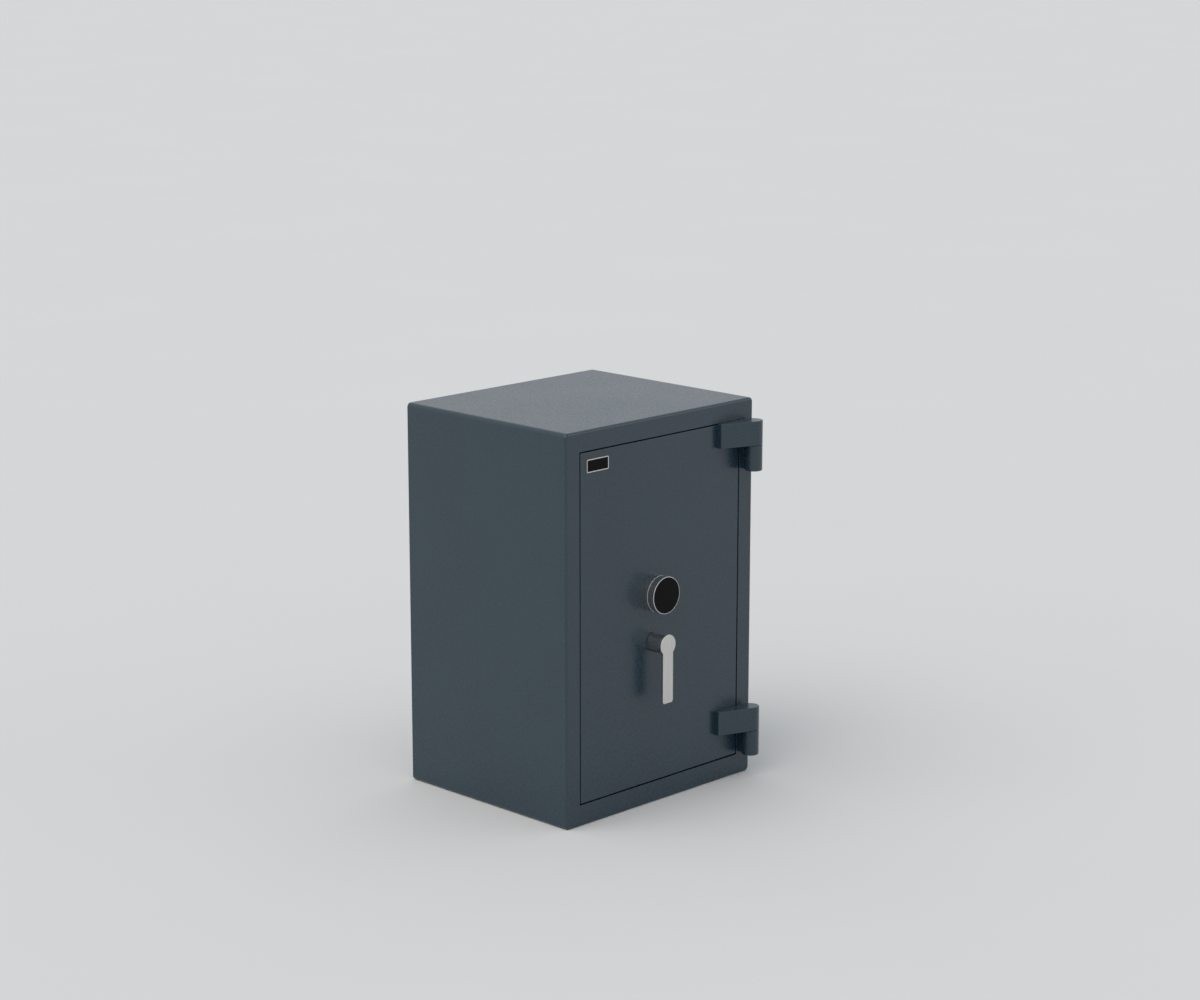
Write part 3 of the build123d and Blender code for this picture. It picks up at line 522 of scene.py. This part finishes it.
class SAFE_OT_finish_controls(bpy.types.Operator):
    """Satin metal on the knob, the lever and the badge frame, black on the faces"""

    bl_idname = "safe.finish_controls"
    bl_label = "Finish knob, handle and badge"

    def execute(self, context):
        props = context.scene.safe_finish
        colour = props.satin_colour
        dress(["handle_lever"],
              brushed_metal("lever_satin", colour, roughness=0.30, edge=0.0006,
                            place=straight(SATIN_LINES, SATIN_LINES, LEVER_RUN)))
        dress(["handle_neck"],
              brushed_metal("neck_satin", colour, LATHE_ROUGHNESS, edge=0.0004,
                            place=turned("handle_neck"), relief=LATHE_RELIEF))
        dress(["knob_base", "knob_sleeve"],
              brushed_metal("knob_satin", colour, LATHE_ROUGHNESS, edge=0.0003,
                            place=turned("knob_base"), relief=LATHE_RELIEF))
        dress(["badge_frame"],
              brushed_metal("badge_satin", colour, roughness=0.28, edge=0.0003,
                            place=straight(BADGE_RUN, SATIN_LINES, SATIN_LINES)))
        dress(["knob_face", "badge_plate"], smooth_black("face_black", FACE_BLACK))
        return {"FINISHED"}


class SAFE_OT_finish_boltwork(bpy.types.Operator):
    """Plated sheet, bright bolts, brass and cast parts behind the door"""

    bl_idname = "safe.finish_boltwork"
    bl_label = "Finish the boltwork"

    def execute(self, context):
        dress(
            ["bolt_pockets", "dog_pockets", "anchor_sleeves", "mounting_plate", "side_bolt_bar",
             "top_bolt_bar", "bottom_bolt_bar", "shelf_strip_left_front", "shelf_strip_left_rear",
             "shelf_strip_right_front", "shelf_strip_right_rear", "upper_shelf_clips", "lower_shelf_clips",
             "scroll_cam", "guide_posts", "side_bolt_screws", "lock_case_screws", "spindle_nut",
             "side_follower_pin", "top_follower_pin", "bottom_follower_pin"],
            plated_steel("plated_sheet", PLATED_SHEET),
        )
        dress(["side_bolts", "hinge_side_dogs"],
              brushed_metal("bolt_side_bright", BRIGHT_STEEL, BOLT_ROUGHNESS, BOLT_EDGE,
                            straight(TURNED_LINES, TURNED_RUN, TURNED_RUN)))
        dress(["top_bolt", "bottom_bolt", "upper_hinge_pin", "lower_hinge_pin"],
              brushed_metal("bolt_end_bright", BRIGHT_STEEL, BOLT_ROUGHNESS, BOLT_EDGE,
                            straight(TURNED_RUN, TURNED_RUN, TURNED_LINES)))
        dress(["handle_spindle", "lock_spindle"],
              brushed_metal("spindle_bright", BRIGHT_STEEL, roughness=0.25, edge=BOLT_EDGE,
                            place=straight(TURNED_RUN, TURNED_LINES, TURNED_RUN)))
        dress(["upper_hinge_washer", "lower_hinge_washer", "handle_bush", "lock_bolt"],
              cast_metal("plain_brass", BRASS, metallic=1.0, roughness=0.3))
        dress(["lock_case"], cast_metal("cast_case", CAST_CASE, metallic=0.85, roughness=0.45))
        dress(["door_seal"], matt_rubber("seal_black", SEAL_BLACK))
        dress(["body_infill", "door_barrier"], cast_filling("cast_filling", FILLING_STONE))
        return {"FINISHED"}


class SAFE_OT_build_cover_screws(bpy.types.Operator):
    """Domed screws with hexagon sockets round the inner cover"""

    bl_idname = "safe.build_cover_screws"
    bl_label = "Build cover screws"

    def execute(self, context):
        props = context.scene.safe_finish
        mesh = bmesh.new()
        for places in loose_parts("door_cover_screws"):
            add_screw(mesh, places, props)
        if not mesh.faces:
            raise RuntimeError("The frame has no cover screws to stand in for")
        bmesh.ops.recalc_face_normals(mesh, faces=mesh.faces)
        data = bpy.data.meshes.new("cover_screws")
        mesh.to_mesh(data)
        mesh.free()
        data.shade_smooth()
        data.set_sharp_from_angle(angle=math.radians(SHARP_ANGLE))
        screws = bpy.data.objects.new("cover_screws", data)
        context.scene.collection.objects.link(screws)
        data.materials.append(plated_steel("screw_plated", PLATED_SCREW))
        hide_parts("door_cover_screws")
        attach(screws, "door")
        return {"FINISHED"}


class SAFE_OT_build_stage(bpy.types.Operator):
    """Pale floor, soft lamps and the camera at the photographed angle"""

    bl_idname = "safe.build_stage"
    bl_label = "Build the stage"

    def execute(self, context):
        stage = context.scene.safe_stage
        self.add_floor(context, stage)
        self.add_sky(context, stage)
        self.add_light(context, "overhead_light", OVERHEAD_FROM, OVERHEAD_SPREAD, stage.overhead_strength)
        self.add_light(context, "side_light", SIDE_FROM, SIDE_SPREAD, stage.side_strength)
        self.add_camera(context, stage)
        context.scene.view_settings.view_transform = "Standard"
        return {"FINISHED"}

    @staticmethod
    def add_floor(context, stage):
        mesh = bpy.data.meshes.new("studio_floor")
        half = FLOOR_HALF
        mesh.from_pydata([(-half, -half, 0), (half, -half, 0), (half, half, 0), (-half, half, 0)],
                         [], [(0, 1, 2, 3)])
        floor = bpy.data.objects.new("studio_floor", mesh)
        context.scene.collection.objects.link(floor)
        graph = Graph("floor_pale")
        cloud = graph.noise(FLOOR_CLOUDS)
        tone = graph.mix(cloud, shade(stage.floor_colour, 0.985), shade(stage.floor_colour, 1.015))
        floor.data.materials.append(graph.finish({"Base Color": tone, "Roughness": 0.9,
                                                  "Specular IOR Level": 0.2}))

    @staticmethod
    def add_sky(context, stage):
        """Light all round; the camera sees a plain backdrop in its place."""
        sky = bpy.data.worlds.new("studio_sky")
        sky.use_nodes = True
        nodes, links = sky.node_tree.nodes, sky.node_tree.links
        nodes.clear()
        mixed = nodes.new("ShaderNodeMixShader")
        links.new(nodes.new("ShaderNodeLightPath").outputs["Is Camera Ray"], mixed.inputs[0])
        for socket, colour in ((1, stage.sky_colour), (2, stage.backdrop_colour)):
            background = nodes.new("ShaderNodeBackground")
            background.inputs["Color"].default_value = rgba(colour)
            links.new(background.outputs["Background"], mixed.inputs[socket])
        links.new(mixed.outputs["Shader"], nodes.new("ShaderNodeOutputWorld").inputs["Surface"])
        context.scene.world = sky

    @staticmethod
    def add_light(context, name, towards, spread, strength):
        """Soft light from far away; towards points from the safe to the light."""
        data = bpy.data.lights.new(name, "SUN")
        data.angle = math.radians(spread)
        data.energy = strength
        data.color = context.scene.safe_stage.light_colour
        light = bpy.data.objects.new(name, data)
        light.location = Vector(towards) * LIGHT_AWAY
        light.rotation_euler = Vector(towards).to_track_quat("Z", "Y").to_euler()
        context.scene.collection.objects.link(light)

    @staticmethod
    def add_camera(context, stage):
        data = bpy.data.cameras.new("photo_camera")
        data.lens = stage.camera_lens
        data.sensor_width = SENSOR_WIDTH
        data.sensor_fit = "HORIZONTAL"
        data.clip_end = FAR_CLIP
        camera = bpy.data.objects.new("photo_camera", data)
        camera.location = stage.camera_place
        camera.rotation_euler = (math.pi / 2 - stage.camera_pitch, 0.0, -stage.camera_yaw)
        context.scene.collection.objects.link(camera)
        context.scene.camera = camera


OPERATORS = (
    SAFE_OT_coat_body,
    SAFE_OT_coat_inside,
    SAFE_OT_finish_controls,
    SAFE_OT_finish_boltwork,
    SAFE_OT_build_cover_screws,
    SAFE_OT_build_stage,
)


class SAFE_PT_looks(bpy.types.Panel):
    """Lists the safe's pieces and settings"""

    bl_label = "Security safe"
    bl_idname = "SAFE_PT_looks"
    bl_space_type = "VIEW_3D"
    bl_region_type = "UI"
    bl_category = "Safe"

    def draw(self, context):
        layout = self.layout
        for group in (context.scene.safe_finish, context.scene.safe_stage):
            box = layout.box()
            for name in group.__annotations__:
                box.prop(group, name)
        for operator in OPERATORS:
            layout.operator(operator.bl_idname)


CLASSES = (SafeFinish, SafeStage) + OPERATORS + (SAFE_PT_looks,)


def register():
    for cls in CLASSES:
        bpy.utils.register_class(cls)
    bpy.types.Scene.safe_finish = PointerProperty(type=SafeFinish)
    bpy.types.Scene.safe_stage = PointerProperty(type=SafeStage)


def unregister():
    del bpy.types.Scene.safe_stage
    del bpy.types.Scene.safe_finish
    for cls in reversed(CLASSES):
        bpy.utils.unregister_class(cls)


def main():
    register()
    bpy.ops.safe.coat_body()
    bpy.ops.safe.coat_inside()
    bpy.ops.safe.finish_controls()
    bpy.ops.safe.finish_boltwork()
    bpy.ops.safe.build_cover_screws()
    bpy.ops.safe.build_stage()


if __name__ == "__main__":
    main()
